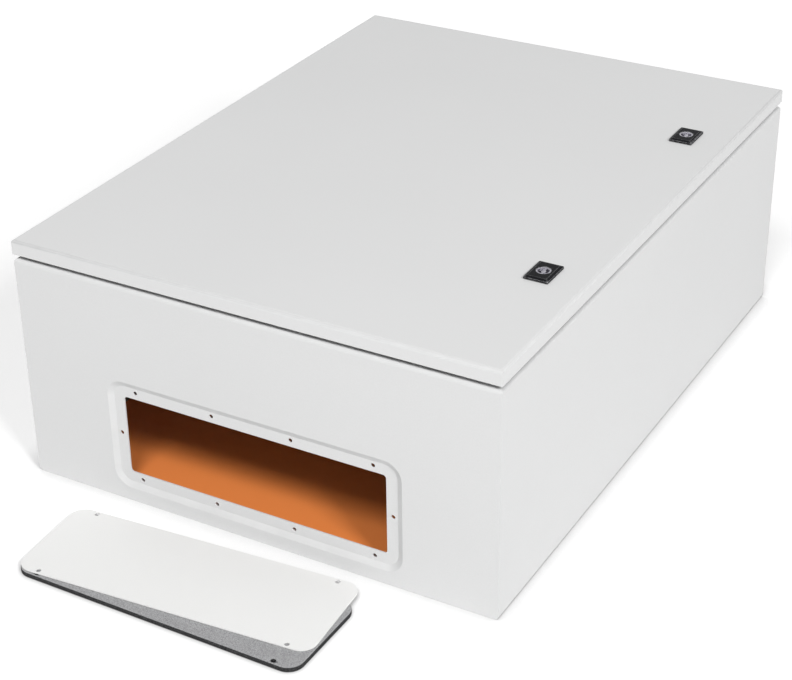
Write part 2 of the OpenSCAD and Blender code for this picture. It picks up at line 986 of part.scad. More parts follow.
// At rest the cam points down the board and lets the door swing; a quarter turn puts it behind the rim
module lock_cam(s) {
    slot = square_w + 2 * spindle_clearance;
    color(zinc)
        at_lock(s)
            translate([0, 0, cam_bottom_z])
                difference() {
                    linear_extrude(cam_t)
                        difference() {
                            union() {
                                circle(d = cam_hub_d);
                                translate([-cam_w / 2, -cam_l])
                                    square([cam_w, cam_l]);
                            }
                            square(slot, center = true);
                        }
                    translate([-board_w / 2, -cam_l, 0])
                        rotate([0, 90, 0])
                            linear_extrude(board_w)
                                polygon([
                                    [-cam_t - eps, -eps],
                                    [-cam_t - eps, cam_ramp],
                                    [-cam_t, cam_ramp],
                                    [-cam_t / 2, 0],
                                    [-cam_t / 2, -eps],
                                ]);
                }
}

module lock_cam_washer(s) {
    color(zinc)
        at_lock(s)
            translate([0, 0, cam_bottom_z - cam_washer_t])
                washer(cam_washer_d, cam_screw_d + 2 * stud_clearance, cam_washer_t);
}

module lock_cam_screw(s) {
    head_z = cam_bottom_z - cam_washer_t - cam_screw_head;
    color(steel)
        at_lock(s)
            translate([0, 0, head_z]) {
                cylinder(d = cam_screw_af / cos(30), h = cam_screw_head, $fn = 6);
                cylinder(d = cam_screw_d, h = cam_screw_head + cam_screw_l);
            }
}

module upper_lock_housing() {
    lock_housing(1);
}

module lower_lock_housing() {
    lock_housing(-1);
}

module upper_lock_seal() {
    lock_seal(1);
}

module lower_lock_seal() {
    lock_seal(-1);
}

module upper_lock_nut() {
    lock_nut(1);
}

module lower_lock_nut() {
    lock_nut(-1);
}

module upper_lock_spindle() {
    lock_spindle(1);
}

module lower_lock_spindle() {
    lock_spindle(-1);
}

module upper_lock_cam() {
    lock_cam(1);
}

module lower_lock_cam() {
    lock_cam(-1);
}

module upper_lock_cam_washer() {
    lock_cam_washer(1);
}

module lower_lock_cam_washer() {
    lock_cam_washer(-1);
}

module upper_lock_cam_screw() {
    lock_cam_screw(1);
}

module lower_lock_cam_screw() {
    lock_cam_screw(-1);
}

// Gland plate and its gasket, taken off and laid in front of the lower end

module gland_outline() {
    difference() {
        round_rect(gland_half_w, gland_half_h, gland_r);
        for (i = [-1, 1], j = [-1, 1])
            translate([i * entry_row_x, j * entry_row_z])
                circle(d = gland_hole_d);
    }
}

module gland_gasket() {
    color(gasket_grey)
        translate([loose_gasket_x, -wall_y - loose_gasket_front, 0])
            rotate([0, 0, loose_gasket_turn])
                linear_extrude(gland_gasket_t)
                    gland_outline();
}

module gland_plate() {
    color(off_white)
        translate([loose_plate_x, -wall_y - loose_plate_front, gland_gasket_t + loose_gap])
            rotate([0, 0, loose_plate_turn])
                linear_extrude(gland_t)
                    gland_outline();
}

body_wrapper();
top_end_panel();
bottom_end_panel();
upper_hinge_body_leaf();
lower_hinge_body_leaf();
upper_hinge_pin();
lower_hinge_pin();
plate_studs();
plate_spacers();
mounting_plate();
plate_washers();
plate_nuts();
body_earth_stud();
body_earth_washers();
body_earth_nuts();
door_panel();
door_gasket();
left_door_stiffener();
right_door_stiffener();
upper_hinge_door_leaf();
lower_hinge_door_leaf();
door_earth_stud();
door_earth_washers();
door_earth_nuts();
upper_lock_housing();
upper_lock_seal();
upper_lock_nut();
lower_lock_housing();
lower_lock_seal();
lower_lock_nut();
upper_lock_spindle();
upper_lock_cam();
upper_lock_cam_washer();
upper_lock_cam_screw();
lower_lock_spindle();
lower_lock_cam();
lower_lock_cam_washer();
lower_lock_cam_screw();
gland_gasket();
gland_plate();
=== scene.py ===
"""Looks of the distribution board: a powder-coated sheet-steel enclosure that lies on its back,
with its gland plate and gasket in front of it. Lengths are in metres, in the model's own frame."""

import json
import math

import bmesh
import bpy
from mathutils import Matrix, Vector, noise


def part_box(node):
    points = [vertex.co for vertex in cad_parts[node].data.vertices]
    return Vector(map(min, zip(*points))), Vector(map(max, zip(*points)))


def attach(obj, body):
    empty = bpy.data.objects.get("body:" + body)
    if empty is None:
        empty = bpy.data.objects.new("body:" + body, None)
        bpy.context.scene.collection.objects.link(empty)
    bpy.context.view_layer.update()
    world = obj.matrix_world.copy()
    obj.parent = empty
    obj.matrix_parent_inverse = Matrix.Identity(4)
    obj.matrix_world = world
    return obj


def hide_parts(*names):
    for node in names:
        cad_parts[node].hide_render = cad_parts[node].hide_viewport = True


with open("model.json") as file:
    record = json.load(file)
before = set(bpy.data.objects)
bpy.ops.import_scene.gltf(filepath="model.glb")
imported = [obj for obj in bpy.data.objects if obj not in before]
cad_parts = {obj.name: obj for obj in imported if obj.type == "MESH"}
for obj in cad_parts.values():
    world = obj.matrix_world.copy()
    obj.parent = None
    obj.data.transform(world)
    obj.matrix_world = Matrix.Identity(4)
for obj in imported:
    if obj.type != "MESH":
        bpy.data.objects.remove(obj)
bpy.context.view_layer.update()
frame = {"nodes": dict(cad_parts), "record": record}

NODES = frame["nodes"]

# Camera, fitted to the photograph
CAMERA_PLACE = (0.98398, -1.80624, 1.22756)
CAMERA_RIGHT = (0.8723, 0.48882, -0.01232)
CAMERA_DOWN = (0.23307, -0.4378, -0.86833)
CAMERA_FORWARD = (-0.42986, 0.75457, -0.49583)
CAMERA_SIGHT = 200
LENS_MM = 86.243
SENSOR_MM = 36.0

# Light
WORLD_LIGHT = 0.32
# Azimuth, elevation, distance, size and watts of each lamp
KEY_LAMP = (60, 36, 8.5, 1.7, 355)
FRONT_LAMP = (12, 54, 8.5, 2.3, 283)
LAMP_AIM = (0, 0, 0.15)

# Floor: how far it reaches, and how much whiter it looks to the camera with the distance
FLOOR_HALF = 30.0
FLOOR_DROP = 0.0003
FLOOR_GREY = 0.9
FLOOR_NEAR, FLOOR_FAR = 1.0, 2.4
FLOOR_LIFT_NEAR, FLOOR_LIFT_FAR = 0.32, 0.85
# The soft shade on the floor along the board's lower edges
CONTACT_REACH, CONTACT_SHARE, CONTACT_SAMPLES = 0.045, 0.6, 12

# Paints, as linear colours
BODY_GREY = (0.725, 0.727, 0.727)
DOOR_GREY = (0.738, 0.74, 0.74)
PLATE_ORANGE = (0.92, 0.275, 0.07)
GLAND_WHITE = (0.85, 0.85, 0.84)

# Masks: the normal's size along an axis where they begin and where they are full
UPRIGHT_FACE, LEVEL_FACE = 0.6, 0.85
FLAT_FACE, FOLDED_FACE = 0.996, 0.93
EDGE_SAMPLES = 6

# Modelled nodes: softened edges and joined faces
EDGE_ROUND, DOOR_EDGE_ROUND, EDGE_SEGMENTS = 0.0004, 0.0009, 2
SHARP_ANGLE, FLAT_ANGLE = math.radians(40), math.radians(0.3)
MERGE_DISTANCE = 0.000002

# Studs and their threads: depth in pitches, crest and flank as shares of the way down from the
# crest, and how much of the depth is left at the end
STUD_D, STUD_PITCH = 0.008, 0.00125
EARTH_D, EARTH_PITCH = 0.006, 0.001
STUD_CLEARANCE = 0.0001
THREAD_AROUND, THREAD_ROWS = 24, 6
THREAD_DEPTH, THREAD_CREST, THREAD_FLANK, THREAD_END = 0.61, 0.08, 0.8, 0.35
THREAD_CRISP_DEGREES = 50

# Nuts and screws: widths across the flats, chamfers, and the lead into a hole
PLATE_NUT_AF, EARTH_NUT_AF, LOCK_NUT_AF, SCREW_AF = 0.013, 0.010, 0.028, 0.008
LOCK_NUT_HOLE = 0.0222
NUT_AROUND = 72
NUT_CHAMFER, NUT_SLOPE = 0.985, math.tan(math.radians(30))
NUT_LEAD, HEAD_MIDDLE = 0.08, 0.02
NUT_CRISP_DEGREES = 35
SCREW_D, SCREW_HEAD, SCREW_TIP, SCREW_TIP_SHARE = 0.004, 0.003, 0.0006, 0.75
SCREW_AROUND = 24

# Foam bead of the door: size, points round a corner, along a side and across, and its shape
BEAD_W, BEAD_CORNER_R = 0.012, 0.016
BEAD_ARC, BEAD_RUN, BEAD_STEPS = 16, 90, 14
BEAD_WIDE, BEAD_HIGH = 0.97, 0.985
BEAD_SIDE_POWER, BEAD_CROWN_POWER = 0.7, 0.75
BEAD_SWAY, BEAD_SWAY_UP, BEAD_SWAY_SCALE, BEAD_SWAY_LAYER = 0.03, 0.3, 14, 3.1

# Sponge of the gland gasket
SPONGE_W, SPONGE_L, SPONGE_CORNER_R, SPONGE_LEAST_R = 0.358, 0.124, 0.018, 0.0006
SPONGE_TURN = math.radians(-0.5)
SPONGE_ARC, SPONGE_RUN = 10, 40
# Insets and heights of its soft edge, and of the shoulder above it, in edge radii
SPONGE_EDGE_R = 0.0018
SPONGE_EDGE = ((0.35, 0.0), (0.1, 0.25), (0.0, 0.8))
SPONGE_SHOULDER = ((1.0, 0.02), (2.2, 0.0))
SPONGE_INSETS = (0.008, 0.014, 0.022, 0.032, 0.042, 0.052, 0.0605)
SPONGE_WAVE, SPONGE_WAVE_FROM, SPONGE_WAVE_SCALE, SPONGE_WAVE_LAYER = 0.00012, 0.1, 30, 0.7
GLAND_HOLE_X, GLAND_HOLE_Y, GLAND_HOLE_D = 0.151, 0.05725, 0.0055
CUTTER_AROUND, CUTTER_LENGTH = 32, 0.05


# Shader nodes

def math_node(tree, operation, *values):
    """The outcome of a math node on sockets and numbers."""
    node = tree.nodes.new("ShaderNodeMath")
    node.operation = operation
    for socket, value in zip(node.inputs, values):
        if isinstance(value, bpy.types.NodeSocket):
            tree.links.new(value, socket)
        else:
            socket.default_value = value
    return node.outputs[0]


def map_range(tree, socket, start, end, low=0.0, high=1.0):
    """Low where the socket is at start, high where it is at end, in a straight line between."""
    node = tree.nodes.new("ShaderNodeMapRange")
    for name, value in zip(("From Min", "From Max", "To Min", "To Max"), (start, end, low, high)):
        node.inputs[name].default_value = value
    tree.links.new(socket, node.inputs["Value"])
    return node.outputs[0]


def seen_directly(tree):
    """A socket that is 1 for camera, glossy and transmission rays and 0 for all others."""
    path = tree.nodes.new("ShaderNodeLightPath")
    seen = path.outputs["Is Camera Ray"]
    for kind in ("Is Glossy Ray", "Is Transmission Ray"):
        seen = math_node(tree, "MAXIMUM", seen, path.outputs[kind])
    return seen


# Camera, floor and light

def make_camera():
    right, up = Vector(CAMERA_RIGHT), -Vector(CAMERA_DOWN)
    back = -Vector(CAMERA_FORWARD)
    camera = bpy.data.objects.new("camera", bpy.data.cameras.new("camera"))
    bpy.context.scene.collection.objects.link(camera)
    turn = Matrix((right, up, back)).transposed()
    camera.matrix_world = Matrix.Translation(CAMERA_PLACE) @ turn.to_4x4()
    camera.data.sensor_width = SENSOR_MM
    camera.data.lens = LENS_MM
    camera.data.clip_end = CAMERA_SIGHT
    bpy.context.scene.camera = camera


def make_world():
    world = bpy.data.worlds.new("studio")
    bpy.context.scene.world = world
    world.use_nodes = True
    tree = world.node_tree
    background = tree.nodes["Background"]
    background.inputs["Color"].default_value = (1, 1, 1, 1)
    strength = math_node(tree, "MULTIPLY_ADD", seen_directly(tree), 1 - WORLD_LIGHT, WORLD_LIGHT)
    tree.links.new(strength, background.inputs["Strength"])


def lift_by_distance(tree):
    """How much whiter the floor looks: little near the board, more far from it."""
    distance = tree.nodes.new("ShaderNodeVectorMath")
    distance.operation = "LENGTH"
    tree.links.new(tree.nodes.new("ShaderNodeTexCoord").outputs["Object"], distance.inputs[0])
    return map_range(tree, distance.outputs["Value"], FLOOR_NEAR, FLOOR_FAR,
                     FLOOR_LIFT_NEAR, FLOOR_LIFT_FAR)


def white_floor():
    """Matt grey for the light, lifted to white where it is seen directly, with a contact shade."""
    material = bpy.data.materials.new("white_floor")
    material.use_nodes = True
    tree = material.node_tree
    nodes, links = tree.nodes, tree.links
    nodes.remove(nodes["Principled BSDF"])
    seen = seen_directly(tree)
    grey = (FLOOR_GREY, FLOOR_GREY, FLOOR_GREY, 1)
    contact = nodes.new("ShaderNodeAmbientOcclusion")
    contact.samples = CONTACT_SAMPLES
    contact.inputs["Color"].default_value = grey
    contact.inputs["Distance"].default_value = CONTACT_REACH
    tone = nodes.new("ShaderNodeMix")
    tone.data_type = "RGBA"
    tone.inputs["A"].default_value = grey
    links.new(contact.outputs["Color"], tone.inputs["B"])
    links.new(math_node(tree, "MULTIPLY", seen, CONTACT_SHARE), tone.inputs["Factor"])
    matt = nodes.new("ShaderNodeBsdfDiffuse")
    links.new(tone.outputs["Result"], matt.inputs["Color"])
    glow = nodes.new("ShaderNodeEmission")
    links.new(contact.outputs["Color"], glow.inputs["Color"])
    lift = math_node(tree, "MULTIPLY", seen, lift_by_distance(tree))
    links.new(lift, glow.inputs["Strength"])
    both = nodes.new("ShaderNodeAddShader")
    links.new(matt.outputs[0], both.inputs[0])
    links.new(glow.outputs[0], both.inputs[1])
    links.new(both.outputs[0], nodes["Material Output"].inputs["Surface"])
    return material


def make_floor():
    mesh = bmesh.new()
    corners = [(-1, -1), (1, -1), (1, 1), (-1, 1)]
    mesh.faces.new([
        mesh.verts.new((x * FLOOR_HALF, y * FLOOR_HALF, -FLOOR_DROP)) for x, y in corners
    ])
    data = bpy.data.meshes.new("floor")
    mesh.to_mesh(data)
    mesh.free()
    data.materials.append(white_floor())
    floor = bpy.data.objects.new("floor", data)
    bpy.context.scene.collection.objects.link(floor)


def make_lamp(name, azimuth, elevation, distance, size, watts):
    """A square lamp that looks at the board. Azimuth 0 is in front of the lower end, 90 beside
    the locks."""
    a, e = math.radians(azimuth), math.radians(elevation)
    towards = Vector((math.sin(a) * math.cos(e), -math.cos(a) * math.cos(e), math.sin(e)))
    lamp = bpy.data.lights.new(name, "AREA")
    lamp.shape = "SQUARE"
    lamp.size = size
    lamp.energy = watts
    holder = bpy.data.objects.new(name, lamp)
    bpy.context.scene.collection.objects.link(holder)
    holder.location = Vector(LAMP_AIM) + towards * distance
    holder.rotation_mode = "QUATERNION"
    holder.rotation_quaternion = towards.to_track_quat("Z", "Y")


# Materials

class Surface:
    """A procedural material under construction, in object coordinates."""

    def __init__(self, name):
        self.material = bpy.data.materials.new(name)
        self.material.use_nodes = True
        self.tree = self.material.node_tree
        self.nodes, self.links = self.tree.nodes, self.tree.links
        self.shader = self.nodes["Principled BSDF"]
        coordinates = self.nodes.new("ShaderNodeTexCoord")
        self.place, self.facing = coordinates.outputs["Object"], coordinates.outputs["Normal"]
        self.normal = None

    def set(self, **values):
        for name, value in values.items():
            self.shader.inputs[name.replace("_", " ")].default_value = value
        return self

    def noise(self, scale, detail=2.0, stretch=None):
        node = self.nodes.new("ShaderNodeTexNoise")
        node.inputs["Scale"].default_value = scale
        node.inputs["Detail"].default_value = detail
        place = self.place
        if stretch:
            mapping = self.nodes.new("ShaderNodeMapping")
            mapping.inputs["Scale"].default_value = stretch
            self.links.new(place, mapping.inputs["Vector"])
            place = mapping.outputs[0]
        self.links.new(place, node.inputs["Vector"])
        return node.outputs["Fac"]

    def cells(self, scale):
        node = self.nodes.new("ShaderNodeTexVoronoi")
        node.inputs["Scale"].default_value = scale
        self.links.new(self.place, node.inputs["Vector"])
        return node.outputs["Distance"]

    def mask(self, socket, start, end):
        """0 where the socket is at start and 1 where it is at end."""
        return map_range(self.tree, socket, start, end)

    def product(self, first, second):
        """One mask times another."""
        return math_node(self.tree, "MULTIPLY", first, second)

    def edges(self, radius, least=0.01, most=0.12):
        """1 along sharp edges, fading to 0 on flat faces about one radius away."""
        rounded = self.nodes.new("ShaderNodeBevel")
        rounded.samples = EDGE_SAMPLES
        rounded.inputs["Radius"].default_value = radius
        flat = self.nodes.new("ShaderNodeNewGeometry").outputs["True Normal"]
        match = self.nodes.new("ShaderNodeVectorMath")
        match.operation = "DOT_PRODUCT"
        self.links.new(rounded.outputs[0], match.inputs[0])
        self.links.new(flat, match.inputs[1])
        return self.mask(match.outputs["Value"], 1 - least, 1 - most)

    def normal_along(self, axes):
        """The size of the normal along each of the axes."""
        apart = self.nodes.new("ShaderNodeSeparateXYZ")
        self.links.new(self.facing, apart.inputs[0])
        return [math_node(self.tree, "ABSOLUTE", apart.outputs[axis]) for axis in axes]

    def level_faces(self):
        """1 on faces that lie level and 0 on upright ones."""
        upward, = self.normal_along("Z")
        return self.mask(upward, UPRIGHT_FACE, LEVEL_FACE)

    def folds(self):
        """1 on the round folds of sheets that lie along the axes, 0 on the flats between them."""
        most, *others = self.normal_along("XYZ")
        for size in others:
            most = math_node(self.tree, "MAXIMUM", most, size)
        return self.mask(most, FLAT_FACE, FOLDED_FACE)

    def ramp(self, socket, stops):
        """Colours from (place, linear colour) stops."""
        node = self.nodes.new("ShaderNodeValToRGB")
        while len(node.color_ramp.elements) < len(stops):
            node.color_ramp.elements.new(0.5)
        for element, (place, colour) in zip(node.color_ramp.elements, stops):
            element.position = place
            element.color = (*colour, 1)
        self.links.new(socket, node.inputs["Fac"])
        return node.outputs["Color"]

    def blend(self, share, first, second):
        """The first colour, and as much of the second as share, a mask or a number, says."""
        node = self.nodes.new("ShaderNodeMix")
        node.data_type = "RGBA"
        if isinstance(share, float):
            node.inputs["Factor"].default_value = share
        else:
            self.links.new(share, node.inputs["Factor"])
        self.links.new(first, node.inputs["A"])
        self.links.new(second, node.inputs["B"])
        return node.outputs["Result"]

    def colour(self, socket):
        self.links.new(socket, self.shader.inputs["Base Color"])

    def roughness(self, socket, low, high):
        patchy = map_range(self.tree, socket, 0.0, 1.0, low, high)
        self.links.new(patchy, self.shader.inputs["Roughness"])

    def bump(self, socket, depth, strength):
        """Adds relief of that depth on top of the relief so far."""
        node = self.nodes.new("ShaderNodeBump")
        node.inputs["Strength"].default_value = strength
        node.inputs["Distance"].default_value = depth
        self.links.new(socket, node.inputs["Height"])
        if self.normal:
            self.links.new(self.normal, node.inputs["Normal"])
        self.normal = node.outputs["Normal"]
        self.links.new(self.normal, self.shader.inputs["Normal"])


def shade(colour, factor):
    return tuple(min(1.0, c * factor) for c in colour)


def powder_coat(name, colour, roughness=(0.54, 0.66), gloss=0.3, fold_shade=(0.93, 0.98)):
    """Baked powder coat: clouds in the tone, an orange-peel swell, a fine grain, and painted shade
    that darkens the folds to tone down their highlight."""
    s = Surface(name).set(Specular_IOR_Level=gloss)
    clouds = s.ramp(s.noise(3.5), [(0.3, shade(colour, 0.985)), (0.7, shade(colour, 1.01))])
    specks = s.ramp(s.noise(900), [(0.35, shade(colour, 0.96)), (0.65, shade(colour, 1.02))])
    coat = s.blend(0.35, clouds, specks)
    # Painted shade: the folds are darkened, to tone down the highlight the lamps give them.
    fold_shade_tone = s.ramp(s.noise(40, 3), [(0.3, shade(colour, fold_shade[0])), (0.7, shade(colour, fold_shade[1]))])
    s.colour(s.blend(s.folds(), coat, fold_shade_tone))
    s.roughness(s.noise(60), *roughness)
    s.bump(s.noise(420), depth=0.0001, strength=0.7)
    s.bump(s.noise(1300), depth=0.00003, strength=0.7)
    return s.material


def zinc_plate(name):
    """Zinc plating: bluish spangle clouds, faint rolling lines, patchy gloss, edges rubbed
    bright."""
    s = Surface(name).set(Metallic=1.0)
    clouds = s.ramp(s.noise(90, 3), [
        (0.3, (0.3, 0.31, 0.335)), (0.5, (0.41, 0.415, 0.425)), (0.72, (0.5, 0.49, 0.45))])
    edge_wear_and_highlight = s.ramp(s.noise(500), [(0.3, (0.55, 0.55, 0.56)), (0.7, (0.78, 0.78, 0.78))])
    worn = s.product(s.edges(radius=0.0005), s.mask(s.noise(120, 3), 0.3, 0.6))
    s.colour(s.blend(worn, clouds, edge_wear_and_highlight))
    s.roughness(s.noise(260, 3), 0.34, 0.56)
    s.bump(s.noise(800, stretch=(1, 0.05, 1)), depth=0.00001, strength=0.5)
    s.bump(s.noise(1500), depth=0.00001, strength=0.6)
    return s.material


def bright_steel(name):
    """Turned steel with fine tool marks."""
    s = Surface(name).set(Metallic=1.0)
    s.colour(s.ramp(s.noise(160, 3), [(0.3, (0.3, 0.3, 0.32)), (0.7, (0.46, 0.46, 0.48))]))
    s.roughness(s.noise(500, 3), 0.26, 0.46)
    s.bump(s.noise(2500), depth=0.000008, strength=0.7)
    return s.material


def cast_insert(name):
    """Die-cast lock insert: a soft violet-grey sheen with a grainy skin, polished bright on its
    edges."""
    s = Surface(name).set(Metallic=1.0)
    skin = s.ramp(s.noise(420, 3), [
        (0.3, (0.2, 0.19, 0.23)), (0.55, (0.4, 0.39, 0.43)), (0.75, (0.68, 0.67, 0.7))])
    worn = s.ramp(s.noise(900), [(0.3, (0.66, 0.65, 0.7)), (0.7, (0.86, 0.85, 0.9))])
    s.colour(s.blend(s.edges(radius=0.0005), skin, worn))
    s.roughness(s.noise(700, 3), 0.24, 0.44)
    s.bump(s.noise(1500), depth=0.00004, strength=0.6)
    return s.material


def black_plastic(name):
    """Glass-filled polyamide with a spark-eroded grain, and a painted highlight: a light grey line
    along its edges.
    """
    s = Surface(name).set(Specular_IOR_Level=0.05)
    skin = s.ramp(s.noise(900), [(0.3, (0.005, 0.005, 0.006)), (0.7, (0.011, 0.011, 0.013))])
    # Painted highlight: the edges get a light grey, lighter than the black plastic, standing in
    # for the shine on their rounding.
    edge_wear_and_highlight = s.ramp(s.noise(300, 3), [(0.35, (0.06, 0.06, 0.064)), (0.65, (0.34, 0.34, 0.35))])
    s.colour(s.blend(s.edges(radius=0.0011, least=0.003, most=0.03), skin, edge_wear_and_highlight))
    s.roughness(s.noise(200), 0.42, 0.56)
    s.bump(s.cells(1500), depth=0.00003, strength=0.5)
    return s.material


def rubber(name):
    """Dull black sheet rubber."""
    s = Surface(name)
    s.colour(s.ramp(s.noise(300, 3), [(0.3, (0.018, 0.018, 0.02)), (0.7, (0.035, 0.035, 0.037))]))
    s.roughness(s.noise(400), 0.6, 0.8)
    s.bump(s.noise(1400), depth=0.00003, strength=0.6)
    return s.material


def poured_foam(name):
    """Skinned polyurethane foam: small pores under a matt skin."""
    s = Surface(name)
    pores = s.cells(700)
    s.colour(s.ramp(pores, [
        (0.0, (0.006, 0.006, 0.007)), (0.25, (0.03, 0.03, 0.032)), (1.0, (0.05, 0.05, 0.052))]))
    s.roughness(s.noise(300), 0.72, 0.9)
    s.bump(s.noise(120, 3), depth=0.0003, strength=0.5)
    s.bump(pores, depth=0.00025, strength=0.6)
    return s.material


def sponge(name):
    """Cellular rubber: a speckled grey skin above and below, and cut sides of dark open cells,
    darkened further with painted shade.
    """
    s = Surface(name).set(Specular_IOR_Level=0.2)
    pores = s.cells(1300)
    base = s.ramp(pores, [
        (0.05, (0.1, 0.1, 0.104)), (0.4, (0.36, 0.36, 0.37)), (0.8, (0.5, 0.5, 0.51))])
    mottle = s.ramp(s.noise(900, 3), [(0.35, (0.14, 0.14, 0.143)), (0.65, (0.58, 0.58, 0.59))])
    # Partly painted shade: the cut sides have darker open cells, and are made near black to stand
    # for the shade they lie in.
    cut = s.ramp(pores, [
        (0.1, (0.006, 0.006, 0.007)), (0.5, (0.026, 0.026, 0.027)), (0.9, (0.1, 0.1, 0.102))])
    s.colour(s.blend(s.level_faces(), cut, s.blend(0.5, base, mottle)))
    s.roughness(s.noise(300), 0.85, 1.0)
    s.bump(s.noise(90, 3), depth=0.0004, strength=0.4)
    s.bump(pores, depth=0.0006, strength=0.8)
    return s.material


def make_materials():
    """The materials by the slots of the record, and the poured foam of the door's bead."""
    return {
        "body_paint": powder_coat("body_powder_coat", BODY_GREY),
        # The door's folds get a deeper painted shade, to tone down their highlight.
        "door_paint": powder_coat("door_powder_coat", DOOR_GREY, fold_shade=(0.84, 0.9)),
        "orange_paint": powder_coat(
            "orange_powder_coat", PLATE_ORANGE, roughness=(0.32, 0.44), gloss=0.5),
        "gland_paint": powder_coat("gland_powder_coat", GLAND_WHITE),
        "zinc": zinc_plate("zinc_plating"),
        "steel": bright_steel("bright_steel"),
        "lock_insert": cast_insert("cast_lock_insert"),
        "lock_black": black_plastic("black_polyamide"),
        "foam_seal": rubber("black_rubber"),
        "poured_foam": poured_foam("poured_foam"),
        "gland_foam": sponge("grey_sponge"),
    }


# Modelled nodes

def finish_node(node, material, edge):
    """Gives a modelled node its material, joins its faces and rounds its sharp edges."""
    node.data.materials.clear()
    node.data.materials.append(material)
    weld = node.modifiers.new("join", "WELD")
    weld.merge_threshold = MERGE_DISTANCE
    flat = node.modifiers.new("join_flats", "DECIMATE")
    flat.decimate_type = "DISSOLVE"
    flat.angle_limit = FLAT_ANGLE
    bevel = node.modifiers.new("round_edges", "BEVEL")
    bevel.width = edge
    bevel.segments = EDGE_SEGMENTS
    bevel.limit_method = "ANGLE"
    bevel.angle_limit = SHARP_ANGLE
    bevel.harden_normals = True


def solids_of(node):
    """The boxes of a node's separate solids, as (lowest, highest) corners."""
    mesh = bmesh.new()
    mesh.from_mesh(NODES[node].data)
    bmesh.ops.remove_doubles(mesh, verts=mesh.verts, dist=MERGE_DISTANCE)
    left, found = set(mesh.verts), []
    while left:
        start = left.pop()
        group, stack = [start], [start]
        while stack:
            for edge in stack.pop().link_edges:
                for vert in edge.verts:
                    if vert in left:
                        left.discard(vert)
                        group.append(vert)
                        stack.append(vert)
        low = Vector([min(v.co[i] for v in group) for i in range(3)])
        high = Vector([max(v.co[i] for v in group) for i in range(3)])
        found.append((low, high))
    mesh.free()
    return sorted(found, key=lambda pair: tuple(pair[0]))


def along(axis, low, high):
    """Puts Z along axis, +Z, -Z or +X, with its origin at the near end of the box."""
    middle = (low + high) / 2
    if axis == "+X":
        turn = Matrix.Rotation(math.pi / 2, 4, "Y")
        return Matrix.Translation((low.x, middle.y, middle.z)) @ turn
    if axis == "-Z":
        turn = Matrix.Rotation(math.pi, 4, "X")
        return Matrix.Translation((middle.x, middle.y, high.z)) @ turn
    return Matrix.Translation((middle.x, middle.y, low.z))


def length_along(axis, low, high):
    return (high - low)["XYZ".index(axis[1])]


# Built pieces

def add_piece(name, mesh, material, body, replaces):
    """Makes the mesh a smooth piece that rides on the body in place of the nodes it replaces."""
    data = bpy.data.meshes.new(name)
    bmesh.ops.recalc_face_normals(mesh, faces=mesh.faces)
    mesh.to_mesh(data)
    mesh.free()
    for face in data.polygons:
        face.use_smooth = True
    data.materials.append(material)
    piece = bpy.data.objects.new(name, data)
    bpy.context.scene.collection.objects.link(piece)
    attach(piece, body)
    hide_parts(*replaces)
    return piece


def keep_crisp(piece, degrees):
    """Keeps edges sharper than the angle crisp."""
    limit = math.cos(math.radians(degrees))
    mesh = bmesh.new()
    mesh.from_mesh(piece.data)
    for edge in mesh.edges:
        faces = edge.link_faces
        edge.smooth = len(faces) == 2 and faces[0].normal.dot(faces[1].normal) > limit
    mesh.to_mesh(piece.data)
    mesh.free()


def add_strip(mesh, rings, closed=False):
    """Faces between neighbouring rings of points, if closed also from the last to the first."""
    made = [[mesh.verts.new(p) for p in ring] for ring in rings]
    count = len(made[0])
    pairs = list(zip(made, made[1:]))
    if closed:
        pairs.append((made[-1], made[0]))
    for low, high in pairs:
        for i in range(count):
            j = (i + 1) % count
            mesh.faces.new((low[i], low[j], high[j], high[i]))
    return made


def add_capped_strip(mesh, rings):
    """A strip with a face over each end."""
    made = add_strip(mesh, rings)
    mesh.faces.new(made[-1])
    mesh.faces.new(list(reversed(made[0])))


def circle(move, r, z, around, start=0.0):
    """Points of a circle round Z, placed by the matrix move."""
    angles = [start + 2 * math.pi * k / around for k in range(around)]
    return [move @ Vector((r * math.cos(a), r * math.sin(a), z)) for a in angles]


def threaded_stud(mesh, d, pitch, length, move):
    """A stud along Z from 0 to length with a helical thread, placed by the matrix move."""
    depth = THREAD_DEPTH * pitch
    rows = max(2, math.ceil(length / pitch * THREAD_ROWS))
    rings = []
    for row in range(rows + 1):
        z = length * row / rows
        fade = min(1.0, max(0.0, z / pitch), max(0.0, (length - z) / pitch + THREAD_END))
        end = max(0.0, z - (length - 0.5 * pitch))
        ring = []
        for k in range(THREAD_AROUND):
            turn = k / THREAD_AROUND
            wave = abs((z / pitch - turn) % 1.0 * 2 - 1)
            flank = min(1.0, max(0.0, (wave - THREAD_CREST) / THREAD_FLANK))
            r = d / 2 - depth * flank * fade - end
            a = 2 * math.pi * turn
            ring.append(move @ Vector((r * math.cos(a), r * math.sin(a), z)))
        rings.append(ring)
    add_capped_strip(mesh, rings)


